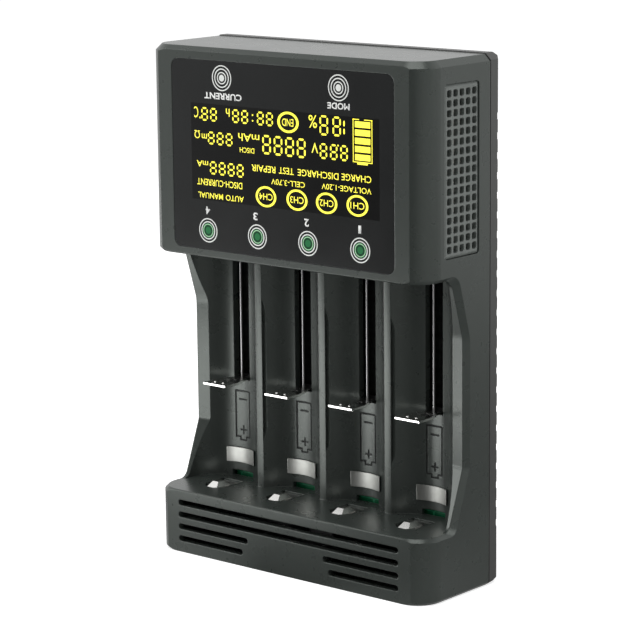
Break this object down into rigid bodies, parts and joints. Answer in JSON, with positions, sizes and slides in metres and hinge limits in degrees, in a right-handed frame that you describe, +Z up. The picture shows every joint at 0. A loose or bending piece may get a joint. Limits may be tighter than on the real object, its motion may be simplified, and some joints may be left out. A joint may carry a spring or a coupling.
{
  "type": "battery charger",
  "caption": "Upright battery charger with a display head, curved side-by-side bays, spring-loaded sliding contacts and a slotted foot.",
  "frame": {"origin": "centre of the foot end, on the surface that the charger stands on", "axes": "+Z up along the bays from the foot to the display head, -Y out of the display side, +X to the right of a viewer who faces the display"},
  "size_m": [0.103, 0.037, 0.153],
  "materials": {
    "case": "fine matt charcoal",
    "window": "gloss black",
    "glass": "clear",
    "light_plastic": "white diffuser",
    "board": "green solder mask",
    "chip": "black moulded package",
    "capacitor": "sleeved can",
    "connector": "black moulded",
    "lamp": "clear milky",
    "grille": "matt grey",
    "nickel": "satin nickel plating",
    "rod_steel": "polished",
    "spring_steel": "bright wire",
    "screw_steel": "blackened",
    "brass": "plated",
    "ferrite": "dark ferrite shield",
    "ceramic": "white ceramic",
    "rubber": "soft black"
  },
  "bodies": {
    "base": {"front_shell": "case", "back_cover": "case", "window": "window", "display_glass": "glass", "display_backlight": "light_plastic", "display_board": "board", "touch_springs": "spring_steel", "key_lights": "lamp", "main_board": "board", "microcontroller": "chip", "power_transistors": "chip", "capacitors": "capacitor", "display_link": "connector", "contact_board": "board", "board_link": "connector", "power_inlet": "connector", "inlet_pin": "brass", "side_grille_right": "grille", "side_grille_left": "grille", "case_screws": "screw_steel", "board_screws": "screw_steel", "rubber_feet": "rubber", "temperature_sensors": "chip", "guide_rod_1": "rod_steel", "guide_rod_2": "rod_steel", "guide_rod_3": "rod_steel", "guide_rod_4": "rod_steel", "return_spring_1": "spring_steel", "return_spring_2": "spring_steel", "return_spring_3": "spring_steel", "return_spring_4": "spring_steel", "positive_contact_1": "nickel", "positive_contact_2": "nickel", "positive_contact_3": "nickel", "positive_contact_4": "nickel", "sensor_plate_1": "nickel", "sensor_plate_2": "nickel", "sensor_plate_3": "nickel", "sensor_plate_4": "nickel", "coil_1": "ferrite", "coil_2": "ferrite", "coil_3": "ferrite", "coil_4": "ferrite", "discharge_resistor_1": "ceramic", "discharge_resistor_2": "ceramic", "discharge_resistor_3": "ceramic", "discharge_resistor_4": "ceramic"},
    "slider_1": {"slider_contact_1": "nickel", "slider_carriage_1": "connector"},
    "slider_2": {"slider_contact_2": "nickel", "slider_carriage_2": "connector"},
    "slider_3": {"slider_contact_3": "nickel", "slider_carriage_3": "connector"},
    "slider_4": {"slider_contact_4": "nickel", "slider_carriage_4": "connector"}
  },
  "joints": [
    {"name": "slider_1_slide", "type": "slide", "parent": "base", "child": "slider_1", "axis": [0, 0, 1], "range_m": [0, 0.0402], "stiffness_N_per_m": 60, "springref_m": -0.02, "deforming": ["return_spring_1"]},
    {"name": "slider_2_slide", "type": "slide", "parent": "base", "child": "slider_2", "axis": [0, 0, 1], "range_m": [0, 0.0402], "stiffness_N_per_m": 60, "springref_m": -0.02, "deforming": ["return_spring_2"]},
    {"name": "slider_3_slide", "type": "slide", "parent": "base", "child": "slider_3", "axis": [0, 0, 1], "range_m": [0, 0.0402], "stiffness_N_per_m": 60, "springref_m": -0.02, "deforming": ["return_spring_3"]},
    {"name": "slider_4_slide", "type": "slide", "parent": "base", "child": "slider_4", "axis": [0, 0, 1], "range_m": [0, 0.0402], "stiffness_N_per_m": 60, "springref_m": -0.02, "deforming": ["return_spring_4"]}
  ]
}
